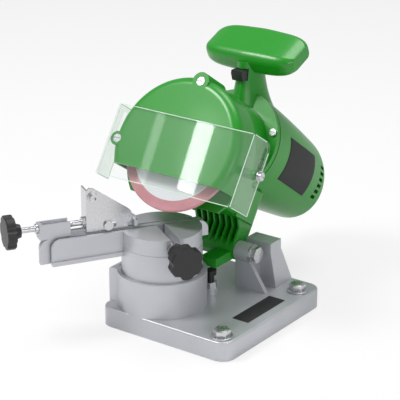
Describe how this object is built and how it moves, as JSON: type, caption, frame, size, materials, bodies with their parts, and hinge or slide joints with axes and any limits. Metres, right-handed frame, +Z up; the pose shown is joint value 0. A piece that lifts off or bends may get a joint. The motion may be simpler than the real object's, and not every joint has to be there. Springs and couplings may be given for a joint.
{
  "type": "bench chainsaw sharpener",
  "caption": "Bench electric chain sharpener: swivelling chain vise with clamp and stop on a cast base, tilting motor head with thin grinding wheel, guard, clear shield and cross grip.",
  "frame": {"origin": "midpoint between the two bench bolt holes, on the underside of the base", "axes": "+X along the front edge away from the vise, +Y from the front edge to the back, +Z up"},
  "size_m": [0.1868, 0.3262, 0.2237],
  "materials": {
    "cast_aluminium": "sand-cast, fine grain",
    "green_plastic": "satin moulded",
    "green_cap": "satin moulded",
    "black_plastic": "fine texture",
    "dark_plastic": "moulded",
    "zinc_steel": "zinc plated",
    "spring_steel": "oiled",
    "black_steel": "blackened",
    "machined_steel": "turned",
    "copper_winding": "lacquered wire",
    "core_steel": "stacked sheet",
    "carbon": "pressed",
    "pink_grit": "fine grit, rough",
    "white_paper": "smooth",
    "clear_sheet": "polished",
    "rubber_black": "moulded",
    "brass_holder": "drawn"
  },
  "bodies": {
    "base": {"base_casting": "cast_aluminium", "hinge_bolt": "zinc_steel", "hinge_nut": "zinc_steel", "hinge_spacer": "machined_steel", "return_spring": "spring_steel", "depth_stop_screw": "black_steel", "depth_stop_nut": "zinc_steel"},
    "vise": {"vise_turntable": "cast_aluminium", "vise_pivot_bolt": "zinc_steel", "clamp_washer": "zinc_steel"},
    "jaw": {"chain_clamp_jaw": "cast_aluminium", "clamp_screw": "machined_steel", "guide_screw": "zinc_steel"},
    "clamp_knob_body": {"clamp_knob": "black_plastic"},
    "adjuster": {"stop_adjusting_screw": "machined_steel", "stop_adjusting_knob": "black_plastic"},
    "carriage": {"stop_carriage": "zinc_steel", "pawl_pin": "zinc_steel"},
    "pawl": {"chain_pawl": "machined_steel"},
    "head": {"head_housing": "green_plastic", "handle_stem": "green_plastic", "handle_grip": "green_plastic", "grip_cap_left": "green_cap", "grip_cap_right": "green_cap", "switch_body": "dark_plastic", "gear_plate": "cast_aluminium", "case_screws": "zinc_steel", "cable_gland": "rubber_black", "guard_cover": "green_plastic", "guard_screws": "zinc_steel", "shield_screws": "zinc_steel", "motor_housing": "green_plastic", "spindle_bearing_front": "machined_steel", "spindle_bearing_rear": "machined_steel", "rotor_bearing_front": "machined_steel", "rotor_bearing_rear": "machined_steel", "stator": "core_steel", "field_coils": "copper_winding", "brushes": "carbon", "brush_holders": "brass_holder"},
    "spindle_unit": {"grinding_wheel": "pink_grit", "wheel_blotter": "white_paper", "wheel_flange_rear": "machined_steel", "wheel_flange_front": "machined_steel", "spindle_nut": "zinc_steel", "spindle": "machined_steel", "driven_gear": "machined_steel"},
    "rotor_unit": {"rotor": "core_steel", "cooling_fan": "dark_plastic"},
    "shield_body": {"shield": "clear_sheet"},
    "trigger": {"trigger_button": "black_plastic"}
  },
  "joints": [
    {"name": "vise_turn", "type": "hinge", "parent": "base", "child": "vise", "pos_m": [-0.0812, -0.0297, 0.048], "axis": [0, 0, 1], "range_deg": [-2, 68]},
    {"name": "jaw_slide", "type": "slide", "parent": "vise", "child": "jaw", "axis": [-0.8387, 0.5446, 0], "range_m": [0, 0.0015]},
    {"name": "clamp_knob_turn", "type": "hinge", "parent": "vise", "child": "clamp_knob_body", "pos_m": [-0.04346, -0.05421, 0.076], "axis": [0.8387, -0.5446, 0], "range_deg": [0, 432]},
    {"name": "adjuster_turn", "type": "hinge", "parent": "jaw", "child": "adjuster", "pos_m": [-0.15017, -0.11607, 0.095], "axis": [0.5446, 0.8387, 0], "range_deg": [0, 2250]},
    {"name": "carriage_slide", "type": "slide", "parent": "jaw", "child": "carriage", "axis": [0.5446, 0.8387, 0], "range_m": [-0.005, 0]},
    {"name": "pawl_lift", "type": "hinge", "parent": "carriage", "child": "pawl", "pos_m": [-0.11923, -0.07357, 0.1174], "axis": [0.8387, -0.5446, 0], "range_deg": [0, 6]},
    {"name": "head_tilt", "type": "hinge", "parent": "base", "child": "head", "pos_m": [-0.0812, 0.039, 0.049], "axis": [1, 0, 0], "range_deg": [0, 8], "stiffness_Nm_per_rad": 4, "springref_deg": -14.32},
    {"name": "rotor_spin", "type": "hinge", "parent": "head", "child": "rotor_unit", "pos_m": [-0.0812, 0.09885, 0.11542], "axis": [0, 0.8339, -0.5519], "continuous": true},
    {"name": "spindle_spin", "type": "hinge", "parent": "head", "child": "spindle_unit", "pos_m": [-0.0812, -0.0011, 0.1456], "axis": [0, 0.8339, -0.5519], "continuous": true},
    {"name": "shield_slide", "type": "slide", "parent": "head", "child": "shield_body", "axis": [0, -0.5519, -0.8339], "range_m": [0, 0.005]},
    {"name": "trigger_press", "type": "slide", "parent": "head", "child": "trigger", "axis": [0, 1, 0], "range_m": [0, 0.0035], "stiffness_N_per_m": 250, "springref_m": -0.003}
  ],
  "couplings": [
    {"joint": "clamp_knob_turn", "follows": "jaw_slide", "rad_per_m": 5026.5},
    {"joint": "adjuster_turn", "follows": "carriage_slide", "rad_per_m": -7854},
    {"joint": "spindle_spin", "follows": "rotor_spin", "ratio": -0.39535}
  ]
}
